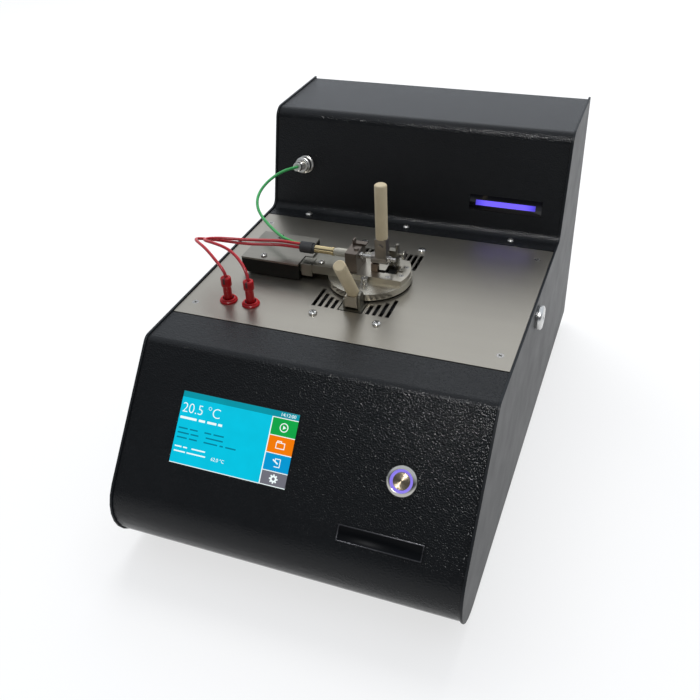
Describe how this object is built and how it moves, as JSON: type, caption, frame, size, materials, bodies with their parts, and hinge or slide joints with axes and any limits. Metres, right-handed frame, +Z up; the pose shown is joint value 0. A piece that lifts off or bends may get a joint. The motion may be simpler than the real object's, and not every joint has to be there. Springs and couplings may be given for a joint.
{
  "type": "flash point tester",
  "caption": "Closed-cup flash point tester: bench case with sloping screen front, heated cup under a hinged lid with shutter and swinging igniter lever, latch, test leads and a rear tower.",
  "frame": {"origin": "on the bench, under the middle of the case", "axes": "+X to the right as seen from the front, +Y to the back, +Z up; the sloping front with the display faces -Y"},
  "size_m": [0.291, 0.4474, 0.249],
  "materials": {
    "case_paint": "fine-textured anthracite powder coat",
    "plate_paint": "fine-textured grey powder coat",
    "brushed_steel": "brushed stainless steel",
    "dark_steel": "machined, slightly darkened steel",
    "zinc_steel": "zinc-plated sheet",
    "chrome": "polished",
    "satin_metal": "satin nickel",
    "aluminium": "turned aluminium",
    "brass": "turned brass",
    "rubber": "matt black rubber",
    "black_plastic": "matt black",
    "grip_plastic": "turned beige engineering plastic",
    "tinted_plastic": "smoked window over violet light",
    "screen_glass": "display cover glass",
    "red_plastic": "glossy red",
    "green_plastic": "satin green",
    "ceramic": "cream ceramic",
    "board": "green circuit board"
  },
  "bodies": {
    "case": {"side_plates": "plate_paint", "front_cover": "case_paint", "rear_cover": "case_paint", "deck_plate": "brushed_steel", "deck_rails": "zinc_steel", "base_plate": "case_paint", "rear_panel": "case_paint", "rubber_feet": "rubber", "case_screws": "chrome", "side_knob": "aluminium", "nameplate": "black_plastic", "display_glass": "screen_glass", "display_module": "board", "button_housing": "chrome", "light_window": "tinted_plastic", "signal_socket": "chrome", "signal_plug": "satin_metal", "lead_sockets": "red_plastic", "lead_plugs": "red_plastic", "red_lead_1": "red_plastic", "red_lead_2": "red_plastic", "green_lead": "green_plastic", "block_screws": "chrome", "cup_block": "aluminium", "sample_cup": "aluminium", "cup_seal": "rubber", "block_heater": "black_plastic", "insulation_ring": "ceramic", "heat_sink": "aluminium", "hinge_bracket": "brushed_steel", "hinge_pin": "chrome", "latch_base": "brushed_steel", "latch_pin": "chrome", "control_board": "board", "power_supply": "zinc_steel", "power_inlet": "black_plastic", "fan_frame": "black_plastic"},
    "lid": {"hinge_block": "black_plastic", "hinge_cover": "brushed_steel", "lid_arm": "brushed_steel", "lid_disc": "brushed_steel", "guide_plate": "brushed_steel", "lid_screws": "chrome", "filler_port": "chrome", "shaft_bracket": "dark_steel", "stop_bracket": "brushed_steel", "igniter_boot": "rubber", "igniter_tube": "brass", "igniter_insulator": "ceramic"},
    "lever": {"igniter_shaft": "chrome", "cam_hub": "dark_steel", "lever_grip": "grip_plastic"},
    "shutter": {"shutter_plate": "brushed_steel", "shutter_follower": "brass"},
    "latch": {"latch_lever": "dark_steel", "latch_grip": "grip_plastic"},
    "button": {"button_cap": "aluminium"},
    "rocker": {"inlet_switch": "red_plastic"},
    "rotor": {"fan_rotor": "black_plastic"},
    "coupling": {"coupling_ring": "satin_metal"}
  },
  "joints": [
    {"name": "lid_hinge", "type": "hinge", "parent": "case", "child": "lid", "pos_m": [-0.1035, -0.00006, 0.166], "axis": [0, -1, 0], "range_deg": [0, 95], "deforming": ["red_lead_1", "red_lead_2", "green_lead"]},
    {"name": "lever_swing", "type": "hinge", "parent": "lid", "child": "lever", "pos_m": [0, -0.00906, 0.1828], "axis": [1, 0, 0], "range_deg": [-55, 0], "stiffness_Nm_per_rad": 0.02, "springref_deg": 17.19},
    {"name": "shutter_slide", "type": "slide", "parent": "lid", "child": "shutter", "axis": [1, 0, 0], "range_m": [0, 0.0063]},
    {"name": "latch_hinge", "type": "hinge", "parent": "case", "child": "latch", "pos_m": [0.0011, -0.04936, 0.1632], "axis": [1, 0, 0], "range_deg": [0, 35], "stiffness_Nm_per_rad": 0.02, "springref_deg": -22.92},
    {"name": "power_button", "type": "slide", "parent": "case", "child": "button", "axis": [0, 0.7455, -0.6665], "range_m": [0, 0.0025], "stiffness_N_per_m": 400, "springref_m": -0.002},
    {"name": "inlet_rocker", "type": "hinge", "parent": "case", "child": "rocker", "pos_m": [0.088, 0.21074, 0.063], "axis": [-1, 0, 0], "range_deg": [0, 14]},
    {"name": "fan_spin", "type": "hinge", "parent": "case", "child": "rotor", "pos_m": [-0.06, 0.20074, 0.11], "axis": [0, 1, 0], "continuous": true},
    {"name": "coupling_turn", "type": "hinge", "parent": "case", "child": "coupling", "pos_m": [-0.10785, 0.11564, 0.19988], "axis": [0, -0.965, 0.2622], "range_deg": [-90, 0]}
  ],
  "couplings": [
    {"joint": "shutter_slide", "follows": "lever_swing", "m_per_rad": -0.006459}
  ]
}
